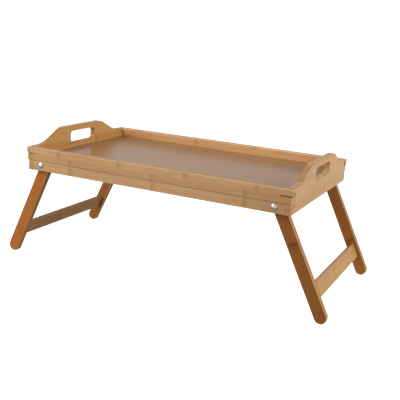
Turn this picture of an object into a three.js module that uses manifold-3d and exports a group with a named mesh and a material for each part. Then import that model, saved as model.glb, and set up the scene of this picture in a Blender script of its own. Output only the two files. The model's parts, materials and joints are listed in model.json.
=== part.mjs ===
// Folding bed tray: a shallow bamboo tray on two leg frames that fold flat under it.
//
// Millimetres, +Z up. X runs along the tray, Y across it, and the front is at -Y. The origin is on
// the floor under the middle of the tray, which stands on its four round feet. The tray's pieces
// are drawn with Z measured from its rim, and each leg frame's pieces with Z measured from its
// pivots, so a depth below the rim or the pivot is a negative Z.

import * as THREE from 'three';
import { mergeVertices } from 'three/addons/utils/BufferGeometryUtils.js';
import Module from 'manifold-3d';

// ---- driving dimensions ------------------------------------------------------------------------

const TRAY_LENGTH = 500;
const TRAY_DEPTH = 295;
const SIDE_HEIGHT = 41;
const GLUE_GAP = 0.25; // between faces that are glued together

// Each long side is a side board with a slightly set-back rail glued under it.
const BOARD_THICKNESS = 12;
const BOARD_HEIGHT = 23.3;
const RAIL_THICKNESS = 12.5;
const RAIL_SETBACK = 1.5;

// The end panels carry the handles, and sit just inside the ends of the side boards.
const PANEL_THICKNESS = 10;
const PANEL_SETBACK = 1;
const HANDLE_RISE = 24;
const HANDLE_FLAT_HALF = 52; // half the level top of the handle
const SHOULDER_RADIUS = 35; // rounded shoulder at each end of that level top
const FADE_RADIUS = 80; // hollow curve that runs out into the rim
const SLOPE = THREE.MathUtils.degToRad(27);

const HAND_SLOT_WIDTH = 75;
const HAND_SLOT_TOP = 14; // above the rim
const HAND_SLOT_BOTTOM = -7.5; // below the rim
const HAND_SLOT_CORNER = 7;

// The corners are finger jointed: board, panel, rail, panel, from the rim down.
const BOARD_FINGER_BOTTOM = -11.3;
const RAIL_FINGER_BOTTOM = -30;

// A shallow saw slot marks each end of the outer face, at the first joint line.
const SAW_SLOT_LENGTH = 20;
const SAW_SLOT_HEIGHT = 2.8;
const SAW_SLOT_DEPTH = 1.3;
const SAW_SLOT_END_RADIUS = 1.8;

const BASE_THICKNESS = 3;
const BASE_TOP = -16.4; // the tray is this deep inside
const TONGUE_DROP = 0.5; // step down to the thinner edge that enters the grooves
const GROOVE_DEPTH = 4;

// Leg frames: two flat legs and a stretcher, splayed outwards until they lean on the end panels.
const SPLAY = THREE.MathUtils.degToRad(27);
const PIVOT_X = 221.45;
const PIVOT_DROP = 30.4; // pivot below the rim
const LEG_REACH = 201.5; // pivot to the tip of the foot
const LEG_WIDTH = 21;
const LEG_THICKNESS = 9.5;
const LEG_OUTER_Y = 131.5;
const STRETCHER_HEIGHT = 26.5;
const STRETCHER_THICKNESS = 8;
const STRETCHER_CENTRE = 151.5; // below the pivot, along the leg
const FIT_GAP = 0.3; // between pieces inside a turned leg frame, and round the bolts

const DOWEL_RADIUS = 2.5;
const DOWEL_LENGTH = 20;
const DOWEL_IN_LEG = 6;
const DOWEL_SPACING = 14;

const BOLT_RADIUS = 3;
const BOLT_HEAD_RADIUS = 5.25;
const BOLT_HEAD_HEIGHT = 3;
const BOLT_HEAD_RIM = 0.8; // straight edge under the dome
const BOLT_END_Y = 114;
const DOME_STEPS = 5;
const CROSS_LENGTH = 5.4;
const CROSS_WIDTH = 1.1;
const CROSS_DEPTH = 1.4;
const SPACER_RADIUS = 7;
const WASHER_RADIUS = 6.25;
const WASHER_THICKNESS = 1.2;
const NUT_ACROSS_FLATS = 10;
const NUT_THICKNESS = 5;

// ---- worked out from them ----------------------------------------------------------------------

const BOARD_OUTER_Y = TRAY_DEPTH / 2;
const BOARD_INNER_Y = BOARD_OUTER_Y - BOARD_THICKNESS;
const RAIL_OUTER_Y = BOARD_OUTER_Y - RAIL_SETBACK;
const RAIL_INNER_Y = RAIL_OUTER_Y - RAIL_THICKNESS;
const PANEL_OUTER_X = TRAY_LENGTH / 2 - PANEL_SETBACK;
const PANEL_INNER_X = PANEL_OUTER_X - PANEL_THICKNESS;
const TONGUE_TOP = BASE_TOP - TONGUE_DROP;
const LEG_RADIUS = LEG_WIDTH / 2;
const LEG_INNER_Y = LEG_OUTER_Y - LEG_THICKNESS;
const FOOT_CENTRE = LEG_REACH - LEG_RADIUS;
const RIM_HEIGHT = PIVOT_DROP + FOOT_CENTRE * Math.cos(SPLAY) + LEG_RADIUS;

const ROUND_SEGMENTS = 24;
const ARC_STEPS = 10;
const OVERSHOOT = 2; // how far a cutting tool runs past the face it opens

const ENDS = [['left', -1], ['right', 1]];
const SIDES = [['front', -1], ['back', 1]];

// ---- materials ---------------------------------------------------------------------------------

function material(color, roughness, metalness = 0) {
  return new THREE.MeshStandardMaterial({ color, roughness, metalness });
}

const frameBamboo = material(0xc99b66, 0.5);
const legBamboo = material(0xa5622b, 0.5);
const baseBamboo = material(0xa08a7c, 0.35);
const dowelWood = material(0xd8b98a, 0.7);
const boltSteel = material(0xc9ccd2, 0.25, 1);
const spacerNylon = material(0xe8e6e0, 0.6);

// ---- geometry helpers --------------------------------------------------------------------------

const wasm = await Module();
wasm.setup();

function toSolid(geometry) {
  const bare = geometry.clone();
  bare.deleteAttribute('normal');
  bare.deleteAttribute('uv');
  const merged = mergeVertices(bare, 1e-4);
  return new wasm.Manifold(new wasm.Mesh({
    numProp: 3,
    vertProperties: new Float32Array(merged.attributes.position.array),
    triVerts: new Uint32Array(merged.index.array),
  }));
}

function toGeometry(solid) {
  const mesh = solid.getMesh();
  const geometry = new THREE.BufferGeometry();
  geometry.setAttribute('position', new THREE.BufferAttribute(mesh.vertProperties, 3));
  geometry.setIndex(new THREE.BufferAttribute(mesh.triVerts, 1));
  geometry.computeVertexNormals();
  return geometry;
}

function cut(blank, tools) {
  let solid = toSolid(blank);
  for (const tool of tools) {
    solid = solid.subtract(toSolid(tool));
  }
  return toGeometry(solid);
}

// A box from its lowest to its highest corner; the two may be given in either order on any axis.
function boxBetween(from, to) {
  const box = new THREE.BoxGeometry(...from.map((value, axis) => Math.abs(to[axis] - value)));
  return box.translate(...from.map((value, axis) => (to[axis] + value) / 2));
}

// A round bar along Y.
function barAlongY(radius, fromY, toY, x = 0, z = 0) {
  const bar = new THREE.CylinderGeometry(radius, radius, Math.abs(toY - fromY), ROUND_SEGMENTS);
  return bar.translate(x, (fromY + toY) / 2, z);
}

// An outline drawn in X and Z, as a plate that fills the given span of Y.
function plateAcrossY(outline, fromY, toY) {
  const plate = new THREE.ExtrudeGeometry(outline, {
    depth: Math.abs(toY - fromY), bevelEnabled: false, curveSegments: ARC_STEPS,
  });
  return plate.rotateX(Math.PI / 2).translate(0, Math.max(fromY, toY), 0);
}

// An outline drawn in Y and Z, as a plate that fills the given span of X.
function plateAcrossX(outline, fromX, toX) {
  const plate = new THREE.ExtrudeGeometry(outline, {
    depth: Math.abs(toX - fromX), bevelEnabled: false, curveSegments: ARC_STEPS,
  });
  return plate.rotateX(Math.PI / 2).rotateZ(Math.PI / 2).translate(Math.min(fromX, toX), 0, 0);
}

// Closes a half outline with its own mirror image across the vertical axis.
function mirroredShape(half) {
  const other = half.map((point) => new THREE.Vector2(-point.x, point.y)).reverse();
  return new THREE.Shape([...half, ...other]);
}

function place(group, name, geometry, finish) {
  const mesh = new THREE.Mesh(geometry, finish);
  mesh.name = name;
  group.add(mesh);
  return mesh;
}

// ---- the tray's wooden pieces ------------------------------------------------------------------

// The slot at one corner: a straight cut from the end of the tray to a round stop.
function sawSlotTools(endSign, sideSign) {
  const outerY = sideSign * (BOARD_OUTER_Y + OVERSHOOT);
  const innerY = sideSign * (BOARD_OUTER_Y - SAW_SLOT_DEPTH);
  const stopX = endSign * (TRAY_LENGTH / 2 - SAW_SLOT_LENGTH + SAW_SLOT_END_RADIUS);
  const middle = BOARD_FINGER_BOTTOM;
  const slot = boxBetween(
    [stopX, innerY, middle - SAW_SLOT_HEIGHT / 2],
    [endSign * (TRAY_LENGTH / 2 + OVERSHOOT), outerY, middle + SAW_SLOT_HEIGHT / 2],
  );
  return [slot, barAlongY(SAW_SLOT_END_RADIUS, innerY, outerY, stopX, middle)];
}

function baseGrooveTool(halfX, halfY) {
  return boxBetween(
    [-halfX, -halfY, TONGUE_TOP + GLUE_GAP],
    [halfX, halfY, BASE_TOP - BASE_THICKNESS - GLUE_GAP],
  );
}

// A long side's outline: its ends reach the full length above a level, and stop at the end
// panel's inner face below it.
function fingerEndedOutline(top, fingerBottom, bottom, fingerEndX) {
  const bodyEndX = PANEL_INNER_X - GLUE_GAP;
  return mirroredShape([
    new THREE.Vector2(fingerEndX, top),
    new THREE.Vector2(fingerEndX, fingerBottom),
    new THREE.Vector2(bodyEndX, fingerBottom),
    new THREE.Vector2(bodyEndX, bottom),
  ]);
}

function sideBoard(sideSign) {
  const outline = fingerEndedOutline(0, BOARD_FINGER_BOTTOM, -BOARD_HEIGHT, TRAY_LENGTH / 2);
  const blank = plateAcrossY(outline, sideSign * BOARD_INNER_Y, sideSign * BOARD_OUTER_Y);
  const groove = baseGrooveTool(TRAY_LENGTH, BOARD_INNER_Y + GROOVE_DEPTH);
  const slots = ENDS.flatMap(([, endSign]) => sawSlotTools(endSign, sideSign));
  return cut(blank, [groove, ...slots]);
}

function sideRail(sideSign) {
  const outline = fingerEndedOutline(
    -BOARD_HEIGHT - GLUE_GAP, RAIL_FINGER_BOTTOM, -SIDE_HEIGHT, TRAY_LENGTH / 2 - RAIL_SETBACK,
  );
  const blank = plateAcrossY(outline, sideSign * RAIL_INNER_Y, sideSign * RAIL_OUTER_Y);
  const boltHoles = ENDS.map(([, endSign]) => barAlongY(
    BOLT_RADIUS + FIT_GAP,
    sideSign * (RAIL_INNER_Y - OVERSHOOT),
    sideSign * (RAIL_OUTER_Y + OVERSHOOT),
    endSign * PIVOT_X,
    -PIVOT_DROP,
  ));
  return cut(blank, boltHoles);
}

// The top edge of an end panel, from where it leaves the rim up to the handle's level top.
function handleCurve() {
  const bothRadii = SHOULDER_RADIUS + FADE_RADIUS;
  const straightRun = (HANDLE_RISE - bothRadii * (1 - Math.cos(SLOPE))) / Math.tan(SLOPE);
  const fadeEndY = HANDLE_FLAT_HALF + bothRadii * Math.sin(SLOPE) + straightRun;
  const points = [];
  for (let step = 0; step <= ARC_STEPS; step += 1) {
    const turn = (SLOPE * step) / ARC_STEPS;
    points.push(new THREE.Vector2(
      fadeEndY - FADE_RADIUS * Math.sin(turn),
      FADE_RADIUS * (1 - Math.cos(turn)),
    ));
  }
  for (let step = ARC_STEPS; step >= 0; step -= 1) {
    const turn = (SLOPE * step) / ARC_STEPS;
    points.push(new THREE.Vector2(
      HANDLE_FLAT_HALF + SHOULDER_RADIUS * Math.sin(turn),
      HANDLE_RISE - SHOULDER_RADIUS * (1 - Math.cos(turn)),
    ));
  }
  return points;
}

function handSlotHole() {
  const reachY = HAND_SLOT_WIDTH / 2 - HAND_SLOT_CORNER;
  const high = HAND_SLOT_TOP - HAND_SLOT_CORNER;
  const low = HAND_SLOT_BOTTOM + HAND_SLOT_CORNER;
  const corners = [[reachY, high], [-reachY, high], [-reachY, low], [reachY, low]];
  const hole = new THREE.Path();
  corners.forEach(([y, z], index) => {
    const start = (index * Math.PI) / 2;
    hole.absarc(y, z, HAND_SLOT_CORNER, start, start + Math.PI / 2, false);
  });
  hole.closePath();
  return hole;
}

// From the bottom up: finger under the rail's, notch for the rail's finger, finger under the
// board's, the narrow part between the boards, and the handle.
function endPanelOutline() {
  const betweenRails = RAIL_INNER_Y - GLUE_GAP;
  const betweenBoards = BOARD_INNER_Y - GLUE_GAP;
  const corners = [
    [RAIL_OUTER_Y, -SIDE_HEIGHT],
    [RAIL_OUTER_Y, RAIL_FINGER_BOTTOM - GLUE_GAP],
    [betweenRails, RAIL_FINGER_BOTTOM - GLUE_GAP],
    [betweenRails, -BOARD_HEIGHT],
    [BOARD_OUTER_Y, -BOARD_HEIGHT],
    [BOARD_OUTER_Y, BOARD_FINGER_BOTTOM - GLUE_GAP],
    [betweenBoards, BOARD_FINGER_BOTTOM - GLUE_GAP],
    [betweenBoards, 0],
  ].map(([y, z]) => new THREE.Vector2(y, z));
  const shape = mirroredShape([...corners, ...handleCurve()]);
  shape.holes.push(handSlotHole());
  return shape;
}

function endPanel(endSign) {
  const blank = plateAcrossX(
    endPanelOutline(), endSign * PANEL_INNER_X, endSign * PANEL_OUTER_X,
  );
  const groove = baseGrooveTool(PANEL_INNER_X + GROOVE_DEPTH, BOARD_INNER_Y + GROOVE_DEPTH);
  const slots = SIDES.flatMap(([, sideSign]) => sawSlotTools(endSign, sideSign));
  return cut(blank, [groove, ...slots]);
}

// The field fills the well from wall to wall, and a thinner tongue round it enters the grooves.
function basePanel() {
  const [fieldX, fieldY] = [PANEL_INNER_X - GLUE_GAP, BOARD_INNER_Y - GLUE_GAP];
  const [tongueX, tongueY] = [fieldX + GROOVE_DEPTH, fieldY + GROOVE_DEPTH];
  const blank = boxBetween(
    [-tongueX, -tongueY, BASE_TOP], [tongueX, tongueY, BASE_TOP - BASE_THICKNESS],
  );
  const [pastX, pastY, pastTop] = [tongueX + OVERSHOOT, tongueY + OVERSHOOT, BASE_TOP + OVERSHOOT];
  const rebates = [-1, 1].flatMap((sign) => [
    boxBetween([sign * fieldX, -pastY, TONGUE_TOP], [sign * pastX, pastY, pastTop]),
    boxBetween([-pastX, sign * fieldY, TONGUE_TOP], [pastX, sign * pastY, pastTop]),
  ]);
  return cut(blank, rebates);
}

// ---- the leg frames' wooden pieces, drawn hanging straight down from the pivot -----------------

// Blind dowel holes or the dowels themselves: two at one end of the stretcher.
function dowelBars(radius, sideSign, extra) {
  const outerY = LEG_INNER_Y + DOWEL_IN_LEG + extra;
  const innerY = LEG_INNER_Y + DOWEL_IN_LEG - DOWEL_LENGTH - extra;
  return [DOWEL_SPACING / 2, -DOWEL_SPACING / 2].map((offset) => barAlongY(
    radius, sideSign * innerY, sideSign * outerY, 0, offset - STRETCHER_CENTRE,
  ));
}

function leg(sideSign) {
  const outline = new THREE.Shape();
  outline.absarc(0, 0, LEG_RADIUS, 0, Math.PI, false);
  outline.absarc(0, -FOOT_CENTRE, LEG_RADIUS, Math.PI, 2 * Math.PI, false);
  outline.closePath();
  const blank = plateAcrossY(outline, sideSign * LEG_INNER_Y, sideSign * LEG_OUTER_Y);
  const pivotHole = barAlongY(
    BOLT_RADIUS + FIT_GAP,
    sideSign * (LEG_INNER_Y - OVERSHOOT),
    sideSign * (LEG_OUTER_Y + OVERSHOOT),
  );
  return cut(blank, [pivotHole, ...dowelBars(DOWEL_RADIUS + FIT_GAP, sideSign, FIT_GAP)]);
}

function stretcher() {
  const halfY = LEG_INNER_Y - FIT_GAP;
  const blank = boxBetween(
    [-STRETCHER_THICKNESS / 2, -halfY, -STRETCHER_CENTRE - STRETCHER_HEIGHT / 2],
    [STRETCHER_THICKNESS / 2, halfY, -STRETCHER_CENTRE + STRETCHER_HEIGHT / 2],
  );
  const holes = SIDES.flatMap(
    ([, sideSign]) => dowelBars(DOWEL_RADIUS + FIT_GAP, sideSign, FIT_GAP),
  );
  return cut(blank, holes);
}

// ---- the pivot hardware, drawn on the Y axis with its head at +Y -------------------------------

// A domed machine screw with a cross recess.
function pivotBolt() {
  const seatY = RAIL_OUTER_Y + GLUE_GAP;
  const rimY = seatY + BOLT_HEAD_RIM;
  const topY = seatY + BOLT_HEAD_HEIGHT;
  const rise = topY - rimY;
  const domeRadius = (BOLT_HEAD_RADIUS ** 2 + rise ** 2) / (2 * rise);
  const spread = Math.asin(BOLT_HEAD_RADIUS / domeRadius);
  const profile = [
    new THREE.Vector2(0, BOLT_END_Y),
    new THREE.Vector2(BOLT_RADIUS, BOLT_END_Y),
    new THREE.Vector2(BOLT_RADIUS, seatY),
    new THREE.Vector2(BOLT_HEAD_RADIUS, seatY),
  ];
  for (let step = 0; step < DOME_STEPS; step += 1) {
    const turn = spread * (1 - step / DOME_STEPS);
    profile.push(new THREE.Vector2(
      domeRadius * Math.sin(turn),
      topY - domeRadius * (1 - Math.cos(turn)),
    ));
  }
  profile.push(new THREE.Vector2(0, topY));
  const arms = [[CROSS_LENGTH, CROSS_WIDTH], [CROSS_WIDTH, CROSS_LENGTH]].map(([wide, tall]) => (
    boxBetween(
      [-wide / 2, topY - CROSS_DEPTH, -tall / 2],
      [wide / 2, topY + OVERSHOOT, tall / 2],
    )
  ));
  return cut(new THREE.LatheGeometry(profile, ROUND_SEGMENTS), arms);
}

function ring(outerRadius, fromY, toY) {
  const hole = barAlongY(BOLT_RADIUS + FIT_GAP, fromY - OVERSHOOT, toY + OVERSHOOT);
  return cut(barAlongY(outerRadius, fromY, toY), [hole]);
}

function lockNut() {
  const outerY = LEG_INNER_Y - FIT_GAP - WASHER_THICKNESS - FIT_GAP;
  const cornerRadius = NUT_ACROSS_FLATS / 2 / Math.cos(Math.PI / 6);
  const hexagon = new THREE.CylinderGeometry(cornerRadius, cornerRadius, NUT_THICKNESS, 6);
  hexagon.translate(0, outerY - NUT_THICKNESS / 2, 0);
  const hole = barAlongY(
    BOLT_RADIUS + FIT_GAP, outerY - NUT_THICKNESS - OVERSHOOT, outerY + OVERSHOOT,
  );
  return cut(hexagon, [hole]);
}

function pivotHardware() {
  const washerOuterY = LEG_INNER_Y - FIT_GAP;
  return [
    ['pivot_bolt', pivotBolt(), boltSteel],
    ['spacer_washer', ring(SPACER_RADIUS, LEG_OUTER_Y + FIT_GAP, RAIL_INNER_Y - FIT_GAP), spacerNylon],
    ['inner_washer', ring(WASHER_RADIUS, washerOuterY - WASHER_THICKNESS, washerOuterY), boltSteel],
    ['lock_nut', lockNut(), boltSteel],
  ];
}

// ---- assembly ----------------------------------------------------------------------------------

function buildTray() {
  const tray = new THREE.Group();
  tray.position.z = RIM_HEIGHT;
  place(tray, 'base_panel', basePanel(), baseBamboo);
  for (const [sideName, sideSign] of SIDES) {
    place(tray, `side_board_${sideName}`, sideBoard(sideSign), frameBamboo);
    place(tray, `side_rail_${sideName}`, sideRail(sideSign), frameBamboo);
  }
  for (const [endName, endSign] of ENDS) {
    place(tray, `end_panel_${endName}`, endPanel(endSign), frameBamboo);
    for (const [sideName, sideSign] of SIDES) {
      for (const [pieceName, geometry, finish] of pivotHardware()) {
        const piece = place(tray, `${pieceName}_${endName}_${sideName}`, geometry, finish);
        piece.position.set(endSign * PIVOT_X, 0, -PIVOT_DROP);
        piece.rotation.z = sideSign > 0 ? 0 : Math.PI;
      }
    }
  }
  return tray;
}

function buildLegFrame(endName, endSign) {
  const frame = new THREE.Group();
  frame.position.set(endSign * PIVOT_X, 0, RIM_HEIGHT - PIVOT_DROP);
  frame.rotation.y = -endSign * SPLAY;
  place(frame, `stretcher_${endName}`, stretcher(), legBamboo);
  for (const [sideName, sideSign] of SIDES) {
    place(frame, `leg_${endName}_${sideName}`, leg(sideSign), legBamboo);
    const [upper, lower] = dowelBars(DOWEL_RADIUS, sideSign, 0);
    place(frame, `dowel_${endName}_${sideName}_upper`, upper, dowelWood);
    place(frame, `dowel_${endName}_${sideName}_lower`, lower, dowelWood);
  }
  return frame;
}

const trayTable = new THREE.Group();
trayTable.name = 'folding_tray_table';
trayTable.add(buildTray());
for (const [endName, endSign] of ENDS) {
  trayTable.add(buildLegFrame(endName, endSign));
}

export default trayTable;
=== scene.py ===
# %% [markdown]
# # A folding bamboo tray table
# The real thing is a shallow tray of laminated bamboo on two splayed leg frames, which swing in
# under it on four screws. The exact solids come from the CAD model, already in their places, in
# metres, with the floor at Z = 0. This lesson gives them what a solid model leaves out: eased
# edges, and the look of bamboo strips under a satin lacquer.

# %% Load the frame
import json
import math

import bmesh
import bpy
from mathutils import Matrix, Vector


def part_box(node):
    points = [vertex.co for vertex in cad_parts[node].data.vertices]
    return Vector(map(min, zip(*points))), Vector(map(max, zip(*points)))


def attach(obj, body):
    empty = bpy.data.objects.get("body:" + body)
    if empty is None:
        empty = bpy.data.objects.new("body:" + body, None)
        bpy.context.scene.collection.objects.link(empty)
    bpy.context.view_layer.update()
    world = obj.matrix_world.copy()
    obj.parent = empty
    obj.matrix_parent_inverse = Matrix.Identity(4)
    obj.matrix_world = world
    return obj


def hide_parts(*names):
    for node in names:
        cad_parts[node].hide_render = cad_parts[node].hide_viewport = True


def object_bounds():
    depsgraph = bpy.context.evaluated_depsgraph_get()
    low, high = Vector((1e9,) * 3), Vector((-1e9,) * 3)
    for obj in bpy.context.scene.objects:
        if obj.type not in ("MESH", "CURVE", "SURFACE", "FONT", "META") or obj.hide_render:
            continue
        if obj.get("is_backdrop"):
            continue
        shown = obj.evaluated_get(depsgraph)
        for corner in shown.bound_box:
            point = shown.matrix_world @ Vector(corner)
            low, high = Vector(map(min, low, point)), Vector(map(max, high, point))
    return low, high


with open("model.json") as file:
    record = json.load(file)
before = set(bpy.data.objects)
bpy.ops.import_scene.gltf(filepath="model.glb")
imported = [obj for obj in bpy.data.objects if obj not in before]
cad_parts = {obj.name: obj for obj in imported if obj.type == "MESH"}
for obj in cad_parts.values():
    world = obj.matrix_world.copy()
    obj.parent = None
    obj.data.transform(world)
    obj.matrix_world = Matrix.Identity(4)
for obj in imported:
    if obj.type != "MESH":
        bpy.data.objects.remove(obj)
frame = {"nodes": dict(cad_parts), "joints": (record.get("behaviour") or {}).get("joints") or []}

MM = 0.001
scene = bpy.context.scene
nodes = frame["nodes"]
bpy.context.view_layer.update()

# %% [markdown]
# ## Landmarks
# Most sizes that the looks depend on are read off the frame, so that the pieces stay where the
# CAD has them. The legs' splay isn't written anywhere, but the line from a pivot to the centre of its
# round foot gives it.

# %% Read the landmarks
ENDS = {"left": -1, "right": 1}
SIDES = {"front": -1, "back": 1}
LEG_WIDTH = 21 * MM

rim_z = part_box("side_board_front")[1].z
board_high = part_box("side_board_back")[1]
rail_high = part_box("side_rail_back")[1]
pivot = Vector(next(j for j in frame["joints"] if j["name"] == "right_legs_fold")["pos_m"])
leg_low, leg_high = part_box("leg_right_back")
foot_x = leg_high.x - LEG_WIDTH / 2
foot_z = leg_low.z + LEG_WIDTH / 2
splay = math.atan2(foot_x - pivot.x, pivot.z - foot_z)
print("rim", round(rim_z, 4), "pivot", [round(v, 4) for v in pivot])
print("splay in degrees", round(math.degrees(splay), 2))

# %% [markdown]
# ## Camera
# A long lens from a little above the tray's right-hand front, leaning a few degrees, with the
# picture shifted so that the table sits in the upper half. Azimuth turns it round from the front,
# elevation lifts it, and the lean rolls it about its own line of sight.

# %% Place the camera
CAMERA_PLACE = (0.5509, -1.0528, 0.4441)
CAMERA_AZIMUTH = math.radians(24.06)
CAMERA_ELEVATION = math.radians(20.63)
CAMERA_LEAN = math.radians(3.51)
LENS = 59.15
SHIFT_X = -0.0625
SHIFT_Y = 0.1625

camera_data = bpy.data.cameras.new("tray_camera")
camera_data.sensor_width = 36
camera_data.lens = LENS
camera_data.shift_x = SHIFT_X
camera_data.shift_y = SHIFT_Y
camera_data.clip_start = 0.01
camera_data.clip_end = 100
camera = bpy.data.objects.new("tray_camera", camera_data)
scene.collection.objects.link(camera)
camera.matrix_world = (
    Matrix.Translation(CAMERA_PLACE)
    @ Matrix.Rotation(CAMERA_AZIMUTH, 4, "Z")
    @ Matrix.Rotation(math.pi / 2 - CAMERA_ELEVATION, 4, "X")
    @ Matrix.Rotation(CAMERA_LEAN, 4, "Z")
)
scene.camera = camera
print("camera", camera.location)

# %% [markdown]
# ## Studio
# The table stands on a plain pale floor in a bright, soft studio. The world is white around the
# horizon and dimmer above and below, so the shadows stay soft but the tops do not wash out. Three
# soft boxes shape the wood: a weak one overhead, one low at the front left, and one at the right
# that brightens the end panel. A little glow in the floor keeps it as pale as a lit paper roll.

# %% Light the studio
HORIZON = 1.05
SKY_ABOVE = 0.4
SKY_BELOW = 0.3
FLOOR_RADIUS = 9.0
FLOOR_GLOW = 0.7

scene.view_settings.view_transform = "Standard"
world = bpy.data.worlds.new("studio")
world.use_nodes = True
world_tree = world.node_tree
sky = world_tree.nodes["Background"]
sky.inputs["Color"].default_value = (1.0, 1.0, 1.0, 1.0)
direction = world_tree.nodes.new("ShaderNodeTexCoord")
height = world_tree.nodes.new("ShaderNodeSeparateXYZ")
world_tree.links.new(direction.outputs["Generated"], height.inputs[0])
rise = world_tree.nodes.new("ShaderNodeMapRange")
fade = world_tree.nodes.new("ShaderNodeMapRange")
for step, numbers in (
    (rise, (-0.30, -0.08, SKY_BELOW, HORIZON)),
    (fade, (0.16, 0.32, 0.0, HORIZON - SKY_ABOVE)),
):
    world_tree.links.new(height.outputs[2], step.inputs[0])
    for socket, number in zip(step.inputs[1:5], numbers):
        socket.default_value = number
less = world_tree.nodes.new("ShaderNodeMath")
less.operation = "SUBTRACT"
world_tree.links.new(rise.outputs[0], less.inputs[0])
world_tree.links.new(fade.outputs[0], less.inputs[1])
world_tree.links.new(less.outputs[0], sky.inputs["Strength"])
scene.world = world


def soft_box(name, place, width, height, power, aim=(0.0, 0.0, 0.15)):
    """A wide area light at a place, turned to shine on a point."""
    light = bpy.data.lights.new(name, "AREA")
    light.shape = "RECTANGLE"
    light.size = width
    light.size_y = height
    light.energy = power
    lamp = bpy.data.objects.new(name, light)
    scene.collection.objects.link(lamp)
    lamp.location = place
    lamp.rotation_euler = (Vector(aim) - Vector(place)).to_track_quat("-Z", "Y").to_euler()
    return lamp


soft_box("overhead_box", (0.0, -0.3, 2.3), 2.0, 1.6, 6)
soft_box("front_left_box", (-1.05, -1.4, 1.0), 1.2, 1.0, 22.5)
soft_box("right_box", (2.2, -0.1, 1.05), 1.2, 1.0, 35)

# %% Lay the floor
shape = bmesh.new()
bmesh.ops.create_circle(shape, cap_ends=True, segments=96, radius=FLOOR_RADIUS)
floor_mesh = bpy.data.meshes.new("studio_floor")
shape.to_mesh(floor_mesh)
shape.free()
floor = bpy.data.objects.new("studio_floor", floor_mesh)
scene.collection.objects.link(floor)
paper = bpy.data.materials.new("pale_paper")
paper.use_nodes = True
paper_shader = paper.node_tree.nodes["Principled BSDF"]
paper_shader.inputs["Base Color"].default_value = (0.86, 0.86, 0.86, 1.0)
paper_shader.inputs["Roughness"].default_value = 0.9
paper_shader.inputs["Specular IOR Level"].default_value = 0.0
paper_shader.inputs["Emission Color"].default_value = (1.0, 1.0, 1.0, 1.0)
paper_shader.inputs["Emission Strength"].default_value = FLOOR_GLOW
floor_mesh.materials.append(paper)
floor.visible_diffuse = False
floor.visible_glossy = False
floor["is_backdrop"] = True
print("floor radius", FLOOR_RADIUS)

# %% [markdown]
# ## Helpers for node finishes
# A finish is a small network of nodes. These helpers add a node, join sockets or set plain
# numbers, and give the few sums that every finish needs, so that each finish below reads like a
# recipe.


# %% Node helpers
def add(tree, kind, **settings):
    """A new node with its settings."""
    made = tree.nodes.new(kind)
    for key, value in settings.items():
        setattr(made, key, value)
    return made


def feed(tree, socket, value):
    """Joins an output to a socket, or sets the socket to a plain value."""
    if isinstance(value, bpy.types.NodeSocket):
        tree.links.new(value, socket)
    else:
        socket.default_value = value


def sums(tree, operation, *values):
    """One Math node."""
    made = add(tree, "ShaderNodeMath", operation=operation)
    for socket, value in zip(made.inputs, values):
        feed(tree, socket, value)
    return made.outputs[0]


def remap(tree, value, start, end, low, high, curve="SMOOTHSTEP"):
    """Low while the value is at start, and high once it has reached end."""
    made = add(tree, "ShaderNodeMapRange", interpolation_type=curve)
    for socket, number in zip(made.inputs, (value, start, end, low, high)):
        feed(tree, socket, number)
    return made.outputs[0]


def bump_of(tree, value, centre, reach):
    """A smooth hump: 1 where the value is at the centre, 0 a reach away from it."""
    away = sums(tree, "ABSOLUTE", sums(tree, "SUBTRACT", value, centre))
    return remap(tree, away, 0.0, reach, 1.0, 0.0)


def mixed(tree, share, first, second, blend="MIX"):
    """Two colours mixed by a share."""
    made = add(tree, "ShaderNodeMix", data_type="RGBA", blend_type=blend)
    feed(tree, made.inputs[0], share)
    feed(tree, made.inputs[6], first)
    feed(tree, made.inputs[7], second)
    return made.outputs[2]


def streaks(tree, place, stretch, detail=2.0):
    """Noise stretched by three densities, in waves per metre."""
    scaled = add(tree, "ShaderNodeVectorMath", operation="MULTIPLY")
    feed(tree, scaled.inputs[0], place)
    scaled.inputs[1].default_value = stretch
    noise = add(tree, "ShaderNodeTexNoise")
    feed(tree, noise.inputs["Vector"], scaled.outputs[0])
    noise.inputs["Scale"].default_value = 1.0
    noise.inputs["Detail"].default_value = detail
    return noise.outputs[0]


def chance(tree, value):
    """A random number from 0 to 1 that depends on the value alone."""
    made = add(tree, "ShaderNodeTexWhiteNoise", noise_dimensions="1D")
    feed(tree, made.inputs["W"], value)
    return made.outputs[0]


def mark(tree, name):
    """A number that the mesh carries."""
    return add(tree, "ShaderNodeAttribute", attribute_name=name).outputs["Fac"]


def new_finish(name):
    """An empty finish, its node tree and its shader."""
    finish = bpy.data.materials.new(name)
    finish.use_nodes = True
    return finish, finish.node_tree, finish.node_tree.nodes["Principled BSDF"]


# %% [markdown]
# ## Bamboo
# Bamboo board is made of long strips sawn from the cane and glued side by side in layers. Each
# strip has its own tone, fine fibres that run its whole length, and a knuckle wherever the cane
# had a joint: a thin dark line with a warm patch to one side. End grain drinks more lacquer and
# turns darker. The slots' walls are sawn grain too, and are darkened further as painted shade, as are
# the joint lines, the handle slopes and a board's far end. Eased edges wear paler, and that pale is
# partly a painted highlight.
#
# The pattern is solid: it is worked out from the place inside the wood, so it runs correctly over
# faces, edges and ends. A Mapping node turns it so that its first axis follows the grain, its
# second goes through the thickness and its third goes across the strips.


# %% Bamboo's grain place
def grain_place(tree, along, through, middle=(0.0, 0.0, 0.0)):
    """The place in the wood, turned to the grain."""
    along, through = Vector(along).normalized(), Vector(through).normalized()
    turned = Matrix((along, through, along.cross(through))).transposed()
    mapping = add(tree, "ShaderNodeMapping", vector_type="TEXTURE")
    mapping.inputs["Location"].default_value = middle
    mapping.inputs["Rotation"].default_value = turned.to_euler("XYZ")
    coordinates = add(tree, "ShaderNodeTexCoord")
    tree.links.new(coordinates.outputs["Object"], mapping.inputs["Vector"])
    return mapping.outputs[0]


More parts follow.
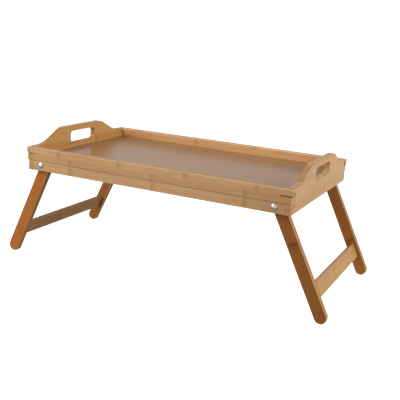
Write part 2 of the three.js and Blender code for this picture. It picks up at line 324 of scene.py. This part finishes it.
# %% Bamboo's knuckles
def knuckle_distance(tree, along, strip, knuckles, wobble):
    """How far a place is from its strip's nearest knuckle, and that knuckle's own chance."""
    gap_even, gap_odd, first, shift, jitter = knuckles[:5]
    odd = sums(tree, "ABSOLUTE", sums(tree, "MODULO", strip, 2.0))
    gap = sums(tree, "MULTIPLY_ADD", odd, gap_odd - gap_even, gap_even)
    start = sums(tree, "MULTIPLY_ADD", strip, shift, first)
    run = sums(tree, "DIVIDE", sums(tree, "SUBTRACT", along, start), gap)
    count = sums(tree, "ROUND", run)
    own = chance(tree, sums(tree, "MULTIPLY_ADD", strip, 13.7, count))
    off = sums(tree, "MULTIPLY", sums(tree, "SUBTRACT", run, count), gap)
    off = sums(tree, "MULTIPLY_ADD", sums(tree, "SUBTRACT", own, 0.5), jitter, off)
    return sums(tree, "MULTIPLY_ADD", sums(tree, "SUBTRACT", wobble, 0.5), 2.5 * MM, off), own


# %% Bamboo's finish
def shade_ramp(tree, tone, deep, middle, pale):
    """Deep wood to pale wood by tone."""
    ramp = add(tree, "ShaderNodeValToRGB")
    ramp.color_ramp.elements[0].position = 0.15
    ramp.color_ramp.elements[0].color = (*deep, 1.0)
    ramp.color_ramp.elements[1].position = 0.85
    ramp.color_ramp.elements[1].color = (*pale, 1.0)
    ramp.color_ramp.elements.new(0.5).color = (*middle, 1.0)
    tree.links.new(tone, ramp.inputs[0])
    return ramp.outputs[0]


def bamboo(
    name, shades, grain, strips, knuckles, lacquer, seed=0.0, flank=None, reach=(1.0, 0.0),
    figure=(0.35, 0.4 * MM),
):
    """Laminated bamboo under lacquer.

    shades: deep, middle and pale wood, knuckle, and end grain, whose colour is also used for
    painted shade. grain: along, through and middle. strips: width, where a strip edge lies, and
    layer thickness. knuckles: gaps on even and odd strips, the first, the shift from strip to strip,
    jitter, and size. lacquer: lowest and highest roughness, coat, coat roughness, shine. flank:
    shades of the faces marked so. reach: how far the wood reaches along the grain from its middle,
    and how much painted shade darkens its far end. figure: how strong the vessels are, and the
    relief.
    """
    finish, tree, shader = new_finish(name)
    deep, middle, pale, dark, end_grain_and_shade = shades
    width, edge, layer = strips
    place = grain_place(tree, *grain)
    axes = add(tree, "ShaderNodeSeparateXYZ")
    tree.links.new(place, axes.inputs[0])
    along, through, across = axes.outputs

    run = sums(tree, "DIVIDE", sums(tree, "SUBTRACT", across, edge), width)
    strip = sums(tree, "FLOOR", run)
    deep_run = sums(tree, "DIVIDE", through, layer)
    ply = sums(tree, "FLOOR", deep_run)
    own = chance(tree, sums(tree, "ADD", sums(tree, "MULTIPLY_ADD", ply, 7.31, strip), seed))

    shifted = add(tree, "ShaderNodeCombineXYZ")
    feed(tree, shifted.inputs[0], sums(tree, "MULTIPLY_ADD", own, 5.0, along))
    feed(tree, shifted.inputs[1], through)
    feed(tree, shifted.inputs[2], across)
    bands = streaks(tree, shifted.outputs[0], (2.5, 60.0, 110.0))
    fibres = streaks(tree, shifted.outputs[0], (14.0, 700.0, 700.0), 3.0)
    vessels = streaks(tree, shifted.outputs[0], (26.0, 1900.0, 1900.0), 0.0)
    clouds = streaks(tree, place, (9.0, 22.0, 22.0))

    tone = sums(tree, "MULTIPLY_ADD", own, 0.34, 0.33)
    tone = sums(tree, "MULTIPLY_ADD", sums(tree, "SUBTRACT", bands, 0.5), 0.9, tone)
    tone = sums(tree, "MULTIPLY_ADD", sums(tree, "SUBTRACT", fibres, 0.5), 0.55, tone)
    tone = sums(tree, "MULTIPLY_ADD", sums(tree, "SUBTRACT", clouds, 0.5), 0.5, tone)
    colour = shade_ramp(tree, tone, deep, middle, pale)
    if flank:
        side_colour = shade_ramp(tree, tone, *flank[:3])
        colour = mixed(tree, mark(tree, "flank"), colour, side_colour)

    dashes = remap(tree, vessels, 0.60, 0.72, 0.0, figure[0])
    colour = mixed(tree, dashes, colour, (*dark, 1.0))

    off, strength = knuckle_distance(tree, along, strip, knuckles, clouds)
    inward = sums(tree, "PINGPONG", run, 0.5)
    strength = sums(tree, "MULTIPLY_ADD", strength, 0.4, 0.6)
    strength = sums(tree, "MULTIPLY", strength, remap(tree, inward, 0.0, 0.3, 0.35, 1.0))
    size = knuckles[5] * MM
    ring = sums(tree, "MULTIPLY", bump_of(tree, off, 0.0, 2.6 * size), strength)
    warm = sums(tree, "MULTIPLY", bump_of(tree, off, 1.8 * size, 9.0 * size), strength)
    light = sums(tree, "MULTIPLY", bump_of(tree, off, -9.0 * size, 7.0 * size), strength)
    colour = mixed(tree, sums(tree, "MULTIPLY", light, 0.2), colour, (*pale, 1.0))
    colour = mixed(tree, sums(tree, "MULTIPLY", warm, 0.28), colour, (*dark, 1.0))
    colour = mixed(tree, sums(tree, "MULTIPLY", ring, 0.5), colour, (*dark, 1.0))

    side = sums(tree, "MULTIPLY", inward, width)
    face = sums(tree, "MULTIPLY", sums(tree, "PINGPONG", deep_run, 0.5), layer)
    seam = remap(tree, sums(tree, "MINIMUM", side, face), 0.05 * MM, 0.22 * MM, 1.0, 0.0)
    colour = mixed(tree, sums(tree, "MULTIPLY", seam, 0.3), colour, (*dark, 1.0))

    # Both ends darken where end grain soaks up lacquer. Towards the far end the wood also darkens as
    # painted shade, where the light falls off.
    length, far_shade = reach
    soak_and_painted_shade = remap(tree, sums(tree, "ABSOLUTE", along), length - 16.0 * MM, length, 0.0, 0.2)
    painted_far_shade = remap(tree, along, length - 100.0 * MM, length - 20.0 * MM, 0.0, far_shade)
    soak_and_painted_shade = sums(tree, "MAXIMUM", soak_and_painted_shade, painted_far_shade)
    # The sawn mark darkens end grain, and also paints shade into the slots, the joint lines and the
    # handle slopes.
    soak_and_painted_shade = sums(tree, "MAXIMUM", soak_and_painted_shade, sums(tree, "MULTIPLY", mark(tree, "sawn_and_shade"), 0.8))
    colour = mixed(tree, soak_and_painted_shade, colour, (*end_grain_and_shade, 1.0))
    # Eased edges turn paler: partly wear, and partly a painted highlight where the rounded edges
    # catch the light.
    rubbed_and_lit = (0.66, 0.42, 0.20) if flank else pale
    wear_and_highlight = sums(tree, "MULTIPLY", mark(tree, "eased"), remap(tree, clouds, 0.3, 0.7, 0.3, 0.6))
    colour = mixed(tree, wear_and_highlight, colour, (*rubbed_and_lit, 1.0))
    tree.links.new(colour, shader.inputs["Base Color"])

    low, high, coat, coat_roughness, shine = lacquer
    feed(tree, shader.inputs["Roughness"], remap(tree, bands, 0.25, 0.75, low, high, "LINEAR"))
    shader.inputs["Specular IOR Level"].default_value = shine
    shader.inputs["Coat Weight"].default_value = coat
    shader.inputs["Coat Roughness"].default_value = coat_roughness

    height = sums(tree, "MULTIPLY_ADD", fibres, 0.5, sums(tree, "MULTIPLY", ring, -0.6))
    height = sums(tree, "MULTIPLY_ADD", seam, -0.4, height)
    relief = add(tree, "ShaderNodeBump")
    relief.inputs["Strength"].default_value = 0.35
    relief.inputs["Distance"].default_value = figure[1]
    tree.links.new(height, relief.inputs["Height"])
    tree.links.new(relief.outputs[0], shader.inputs["Normal"])
    print(name, "finish,", len(tree.nodes), "nodes")
    return finish


# %% [markdown]
# ## Shades
# The tray's frame is light honey-coloured bamboo. The legs are steamed longer, which browns the
# sugar in the cane, so they are a deeper orange. The thin base panel is the glossiest piece.

# %% Mix the shades
FRAME_SHADES = (
    (0.42, 0.225, 0.090),
    (0.48, 0.274, 0.118),
    (0.54, 0.330, 0.155),
    (0.235, 0.095, 0.030),
    (0.26, 0.105, 0.035),
)
LEG_SHADES = (
    (0.33, 0.102, 0.017),
    (0.38, 0.127, 0.022),
    (0.43, 0.152, 0.030),
    (0.07, 0.016, 0.004),
    (0.16, 0.048, 0.014),
)
BASE_SHADES = (
    (0.298, 0.143, 0.054),
    (0.308, 0.149, 0.057),
    (0.318, 0.155, 0.060),
    (0.20, 0.090, 0.034),
    (0.20, 0.085, 0.030),
)


def toned(shades, factor):
    """The same shades, all lighter or darker."""
    return [tuple(channel * factor for channel in shade) for shade in shades]


SATIN = (0.42, 0.55, 0.06, 0.25, 0.35)
OILED = (0.50, 0.62, 0.0, 0.25, 0.18)
GLOSSY = (0.29, 0.32, 0.10, 0.18, 0.35)
# Deeper honey shades for the stretchers and the legs' narrow faces; on the left end panel they stand
# for painted shade.
HONEY_SHADES = (
    (0.41, 0.198, 0.052),
    (0.46, 0.238, 0.066),
    (0.51, 0.283, 0.086),
    (0.235, 0.095, 0.030),
    (0.26, 0.105, 0.035),
)
LEG_TONES = {"left_front": 1.0, "left_back": 0.85, "right_front": 0.62, "right_back": 0.98}
LEG_KNUCKLES = {"left_front": 0.40, "left_back": 0.38, "right_front": 0.066, "right_back": 0.131}
STRETCHER_KNUCKLES = {"left": -0.024, "right": -0.016}
BOARD_KNUCKLES = {
    "front": (0.165, 0.124, -0.159, -0.023, 0.0, 1.0),
    "back": (0.40, 0.40, -0.063, 0.0, 0.0, 1.0),
}
# The back board is made lighter as painted light: its inside face stands in more light than the
# front's outside.
BOARD_PAINTED_LIGHT = {"front": 1.0, "back": 1.3}

ACROSS_X = (1.0, 0.0, 0.0)
ACROSS_Y = (0.0, 1.0, 0.0)
ACROSS_Z = (0.0, 0.0, 1.0)

# %% [markdown]
# ## Wooden pieces
# A wooden piece starts as a copy of its CAD solid. The copy's loose triangles are merged and its
# flat faces made whole again; then its sharp outer edges are rounded with the bevel operator, as a
# sander would ease them. Three marks are stored in the mesh for the finish to read: "eased" on the
# rounded edges, which turn pale as wear and painted highlight; a darkening mark on end grain, which
# also carries painted shade in the corners' slots, at the joint lines and on the handle slopes; and
# "flank" on the narrow faces of the legs.


# %% Copy and ease a solid
def solid_copy(node):
    """A merged copy of a CAD solid with whole faces, and empty marks."""
    shape = bmesh.new()
    shape.from_mesh(nodes[node].data)
    bmesh.ops.remove_doubles(shape, verts=shape.verts[:], dist=0.01 * MM)
    bmesh.ops.dissolve_limit(
        shape, angle_limit=math.radians(1), verts=shape.verts[:], edges=shape.edges[:]
    )
    shape.loops.layers.float.new("eased")
    shape.loops.layers.float.new("sawn_and_shade")
    shape.loops.layers.float.new("flank")
    return shape


def set_mark(shape, name, faces, value=1.0):
    """Gives some faces a mark."""
    layer = shape.loops.layers.float[name]
    for face in faces:
        for loop in face.loops:
            loop[layer] = value


def ease(shape, radius, wanted=lambda place, along: True, segments=3):
    """Rounds the sharp outer edges for which wanted(place, direction) is true."""
    picked = []
    for edge in shape.edges:
        if not edge.is_manifold or not edge.is_convex:
            continue
        if edge.calc_face_angle() < math.radians(40):
            continue
        first, second = (vert.co for vert in edge.verts)
        if wanted((first + second) / 2, (second - first).normalized()):
            picked.append(edge)
    made = bmesh.ops.bevel(
        shape, geom=picked, offset=radius, offset_type="OFFSET", segments=segments,
        profile=0.5, affect="EDGES", clamp_overlap=True, material=-1,
    )
    set_mark(shape, "eased", made["faces"])
    return len(picked)


def mark_ends(shape, along, value=1.0):
    """Marks the faces that cut across the grain."""
    along = Vector(along)
    cut = [face for face in shape.faces if abs(face.normal.dot(along)) > 0.8]
    set_mark(shape, "sawn_and_shade", cut, value)


def finish_piece(shape, node, body, finish, ending):
    """Makes the shape an object that stands for its CAD node."""
    mesh = bpy.data.meshes.new(f"{node}_{ending}")
    shape.to_mesh(mesh)
    shape.free()
    mesh.materials.append(finish)
    mesh.shade_smooth()
    mesh.set_sharp_from_angle(angle=math.radians(35))
    piece = bpy.data.objects.new(f"{node}_{ending}", mesh)
    scene.collection.objects.link(piece)
    even = piece.modifiers.new("even_shading", "WEIGHTED_NORMAL")
    even.keep_sharp = True
    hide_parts(node)
    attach(piece, body)
    print(piece.name, len(mesh.polygons), "faces")
    return piece


# %% [markdown]
# ## Side boards and rails
# Each long side is a board with a rail glued under it, set back a little. The board's ends are
# fingers that reach past the end panels, with a saw slot that marks the first joint line.

# %% Make the side boards and rails
BOARD_EASE = 1.8 * MM
RAIL_EASE = 0.9 * MM
JOINT_EASE = 0.7 * MM
NEAR = 0.1 * MM
SAW_SLOT_DROP = 11.3 * MM
SAW_SLOT_START_X = 0.2295
saw_slot_z = rim_z - SAW_SLOT_DROP


def mark_saw_slots(shape):
    """Marks the walls of the saw slots at the corners darker, as sawn grain and painted shade; the
    right ones far darker.
    """
    for face in shape.faces:
        place = face.calc_center_median()
        depth = board_high.y - abs(place.y)
        if 0.2 * MM < depth < 1.6 * MM and abs(place.z - saw_slot_z) < 2.0 * MM:
            if abs(place.x) > SAW_SLOT_START_X:
                set_mark(shape, "sawn_and_shade", [face], 1.2 if place.x > 0 else 0.12)


for side, sign in SIDES.items():
    node = f"side_board_{side}"
    shape = solid_copy(node)
    low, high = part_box(node)
    outer_y = low.y if sign < 0 else high.y
    ease(shape, BOARD_EASE, lambda place, along: place.z > rim_z - NEAR)
    ease(shape, JOINT_EASE, lambda place, along: abs(place.y - outer_y) < NEAR and (
        (place.z < low.z + NEAR and abs(along.x) > 0.9)
        or (abs(place.x) > high.x - NEAR and abs(along.z) > 0.9)
    ), 2)
    mark_ends(shape, ACROSS_X, 0.15)
    # Painted shade: the board's lower edge and underside, over the rail, are darkened as the shadow
    # line under the board's overhang.
    under = [face for face in shape.faces if face.calc_center_median().z < low.z + 0.7 * MM]
    set_mark(shape, "eased", under, 0.0)
    set_mark(shape, "sawn_and_shade", under, 1.0)
    set_mark(shape, "sawn_and_shade", [face for face in under if face.normal.z < -0.95], 0.35)
    mark_saw_slots(shape)
    # The reach darkens the board towards its right end as painted shade.
    finish = bamboo(
        f"{node}_bamboo", toned(FRAME_SHADES, BOARD_PAINTED_LIGHT[side]), (ACROSS_X, ACROSS_Y),
        (11.65 * MM, low.z, 6.0 * MM), BOARD_KNUCKLES[side], SATIN, 3.0 + sign, None,
        (high.x, 0.22),
    )
    finish_piece(shape, node, "tray", finish, "wood")

    node = f"side_rail_{side}"
    shape = solid_copy(node)
    low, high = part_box(node)
    ease(shape, RAIL_EASE, lambda place, along: place.z < low.z + NEAR or (
        abs(place.x) > high.x - NEAR and abs(along.z) > 0.9
    ))
    mark_ends(shape, ACROSS_X, 0.2)
    # Painted shade: the rail's top, under the board's overhang, is darkened as shade.
    top = [face for face in shape.faces if face.calc_center_median().z > high.z - NEAR]
    set_mark(shape, "sawn_and_shade", top, 1.0)
    # The reach darkens the rail towards its right end as painted shade.
    finish = bamboo(
        f"{node}_bamboo", FRAME_SHADES, (ACROSS_X, ACROSS_Y),
        (17.25 * MM, low.z, 6.2 * MM), (0.165, 0.165, -0.159, 0.0, 0.0, 1.0), SATIN, 7.0 + sign,
        None, (high.x, 0.30),
    )
    finish_piece(shape, node, "tray", finish, "wood")

# %% [markdown]
# ## End panels
# Each end panel rises into a handle with a hand slot. Its top and the slot are rounded well over,
# because hands hold them; the rest of its edges are only eased.

# %% Make the end panels
HANDLE_EASE = 2.0 * MM
slot_half_y = 37.5 * MM
slot_low_z = rim_z - 7.5 * MM

for end, sign in ENDS.items():
    node = f"end_panel_{end}"
    shape = solid_copy(node)
    low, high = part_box(node)
    outer_x = low.x if sign < 0 else high.x
    ease(shape, HANDLE_EASE, lambda place, along: abs(along.x) < 0.1 and (
        place.z > rim_z + 0.01 * MM
        or (abs(place.y) < slot_half_y + 1 * MM and place.z > slot_low_z - 1 * MM)
    ))
    ease(shape, JOINT_EASE, lambda place, along: abs(place.x - outer_x) < NEAR and (
        (place.z < low.z + NEAR)
        or (abs(place.y) > rail_high.y - NEAR and abs(along.z) > 0.9)
    ), 2)
    joint_z = rail_high.z
    ease(shape, JOINT_EASE, lambda place, along: (
        abs(place.z - joint_z) < 0.5 * MM
        and abs(place.y) > board_high.y - NEAR
        and abs(along.x) > 0.9
    ), 2)
    # The right panel's end grain is marked darker than the left's, as painted shade at the right end.
    mark_ends(shape, ACROSS_Y, 0.45 if end == "right" else 0.3)
    # Painted shade: the step at the joint line is darkened, like the shadow line under the side
    # boards.
    joint = [
        face for face in shape.faces
        if abs(face.calc_center_median().z - joint_z) < 0.8 * MM
        and abs(face.calc_center_median().y) > rail_high.y - NEAR
    ]
    set_mark(shape, "sawn_and_shade", joint, 1.0)
    set_mark(shape, "eased", joint, 0.0)
    # The handle's slopes are darkened: partly as end grain, and partly as painted shade, since they
    # are lit less than the top.
    slopes = [
        face for face in shape.faces
        if face.calc_center_median().z > rim_z + 0.01 * MM
        and face.normal.z > 0.3
        and abs(face.normal.y) > 0.3
    ]
    set_mark(shape, "sawn_and_shade", slopes, 0.55)
    set_mark(shape, "eased", slopes, 0.0)
    mark_saw_slots(shape)
    # The left panel takes the deeper honey shades as painted shade, since its inside stands in shade.
    shades = HONEY_SHADES if end == "left" else FRAME_SHADES
    finish = bamboo(
        f"{node}_bamboo", shades, (ACROSS_Y, ACROSS_X),
        (20.0 * MM, low.z, 5.0 * MM), (0.21, 0.17, 0.03, 0.071, 0.02, 0.9), SATIN, 17.0 + sign,
        None, (high.y, 0.0),
    )
    finish_piece(shape, node, "tray", finish, "wood")

# %% [markdown]
# ## Base panel
# A thin panel of wide strips that slides into grooves in the four sides. Its hard lacquer picks up
# the far board and the white room at a low angle.

# %% Make the base panel
node = "base_panel"
shape = solid_copy(node)
mark_ends(shape, ACROSS_X, 0.8)
base_finish = bamboo(
    "base_panel_bamboo", BASE_SHADES, (ACROSS_X, ACROSS_Z),
    (21.0 * MM, 0.0, 3.1 * MM), (0.23, 0.27, 0.05, 0.089, 0.03, 0.7), GLOSSY, 29.0,
    None, (1.0, 0.0), (0.06, 0.02 * MM),
)
finish_piece(shape, node, "tray", base_finish, "wood")

# %% [markdown]
# ## Leg frames
# Two flat legs with round ends, and a stretcher that is dowelled between them. The grain follows
# each leg down its length and runs along the stretcher.

# %% Make the leg frames
LEG_EASE = 0.9 * MM
STRETCHER_REACH = 151.5 * MM
STRETCHER_HALF_WIDTH = 13.25 * MM

for end, sign in ENDS.items():
    body = f"{end}_leg_frame"
    down = Vector((sign * math.sin(splay), 0.0, -math.cos(splay)))
    hinge = Vector((sign * pivot.x, 0.0, pivot.z))
    for side, side_sign in SIDES.items():
        node = f"leg_{end}_{side}"
        shape = solid_copy(node)
        ease(shape, LEG_EASE, lambda place, along: (
            (place - hinge - down * (place - hinge).dot(down)).xz.length > 5 * MM
            or (place - hinge).xz.length > 150 * MM
            or abs((place - hinge).xz.length - LEG_WIDTH / 2) < 1 * MM
        ))
        mark_ends(shape, down, 0.7)
        set_mark(shape, "flank", [f for f in shape.faces if abs(f.normal.y) < 0.85])
        tone = LEG_TONES[f"{end}_{side}"]
        finish = bamboo(
            f"{node}_bamboo", toned(LEG_SHADES, tone), (down, ACROSS_Y, hinge),
            (LEG_WIDTH, -LEG_WIDTH / 2, 4.8 * MM),
            (0.5, 0.5, LEG_KNUCKLES[f"{end}_{side}"], 0.0, 0.0, 1.6), OILED,
            41.0 + 3 * sign + side_sign, HONEY_SHADES,
        )
        finish_piece(shape, node, body, finish, "wood")

    node = f"stretcher_{end}"
    shape = solid_copy(node)
    low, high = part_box(node)
    ease(shape, 0.8 * MM, lambda place, along: abs(along.y) > 0.9 and (
        abs(abs((place - hinge).dot(down) - STRETCHER_REACH) - STRETCHER_HALF_WIDTH) < 0.2 * MM
    ))
    through = down.cross(Vector(ACROSS_Y))
    finish = bamboo(
        f"{node}_bamboo", HONEY_SHADES, (ACROSS_Y, through, hinge),
        (13.3 * MM, STRETCHER_REACH, 4.1 * MM),
        (0.3, 0.3, STRETCHER_KNUCKLES[end], 0.0, 0.0, 1.2), SATIN, 53.0 + sign,
    )
    finish_piece(shape, node, body, finish, "wood")

# %% [markdown]
# ## Pivot hardware
# Each leg turns on a plated screw with a domed cross-recess head. A nylon washer keeps the leg off
# the rail, and a steel washer and a hexagon nut hold it from inside. Pressed and turned parts have
# no knife edges, so every sharp rim is broken by a small bevel, and the domes are shaded smooth.

# %% Mix the hardware's finishes
plated, tree, shader = new_finish("plated_steel")
coordinates = add(tree, "ShaderNodeTexCoord").outputs["Object"]
smears = streaks(tree, coordinates, (240.0, 240.0, 240.0))
scratches = streaks(tree, coordinates, (5200.0, 900.0, 5200.0), 1.0)
shader.inputs["Metallic"].default_value = 1.0
feed(tree, shader.inputs["Base Color"], mixed(
    tree, smears, (0.60, 0.62, 0.66, 1.0), (0.78, 0.79, 0.81, 1.0)
))
feed(tree, shader.inputs["Roughness"], remap(tree, smears, 0.3, 0.7, 0.13, 0.30, "LINEAR"))
relief = add(tree, "ShaderNodeBump")
relief.inputs["Strength"].default_value = 0.12
relief.inputs["Distance"].default_value = 0.05 * MM
feed(tree, relief.inputs["Height"], scratches)
feed(tree, shader.inputs["Normal"], relief.outputs[0])

nylon, tree, shader = new_finish("moulded_nylon")
coordinates = add(tree, "ShaderNodeTexCoord").outputs["Object"]
grain = streaks(tree, coordinates, (1500.0, 1500.0, 1500.0), 3.0)
feed(tree, shader.inputs["Base Color"], mixed(
    tree, grain, (0.66, 0.64, 0.58, 1.0), (0.78, 0.76, 0.71, 1.0)
))
feed(tree, shader.inputs["Roughness"], remap(tree, grain, 0.3, 0.7, 0.45, 0.6, "LINEAR"))
relief = add(tree, "ShaderNodeBump")
relief.inputs["Strength"].default_value = 0.2
relief.inputs["Distance"].default_value = 0.05 * MM
feed(tree, relief.inputs["Height"], grain)
feed(tree, shader.inputs["Normal"], relief.outputs[0])
print(plated.name, nylon.name)

# %% Make the screws, washers and nuts
HARDWARE = (
    ("pivot_bolt", 0.22 * MM, "bolt_steel", plated, "steel"),
    ("spacer_washer", 0.30 * MM, "spacer_nylon", nylon, "nylon"),
    ("inner_washer", 0.20 * MM, "bolt_steel", plated, "steel"),
    ("lock_nut", 0.45 * MM, "bolt_steel", plated, "steel"),
)
for kind, radius, slot, finish, ending in HARDWARE:
    for end in ENDS:
        for side in SIDES:
            node = f"{kind}_{end}_{side}"
            shape = solid_copy(node)
            ease(shape, radius, segments=2)
            finish_piece(shape, node, "tray", finish, ending)

# %% [markdown]
# ## Dowels
# The dowels are hidden inside the joints, and their plain round shape is already right, so the CAD
# solids stay and only take a finish of raw pale wood.

# %% Finish the dowels
DOWEL_SHADES = (
    (0.58, 0.40, 0.22),
    (0.66, 0.47, 0.28),
    (0.72, 0.54, 0.34),
    (0.42, 0.25, 0.12),
    (0.50, 0.32, 0.17),
)
DRY = (0.62, 0.78, 0.0, 0.3, 0.3)
dowel_finish = bamboo(
    "raw_dowel_wood", DOWEL_SHADES, (ACROSS_Y, ACROSS_X), (5.5 * MM, 0.0, 5.5 * MM),
    (0.4, 0.4, 0.3, 0.0, 0.0, 1.0), DRY, 61.0,
)
for name, node_object in nodes.items():
    if name.startswith("dowel_"):
        node_object.data.materials.clear()
        node_object.data.materials.append(dowel_finish)

# %% Print the visual box
low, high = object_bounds()
print("visual box from", [round(v, 4) for v in low], "to", [round(v, 4) for v in high])
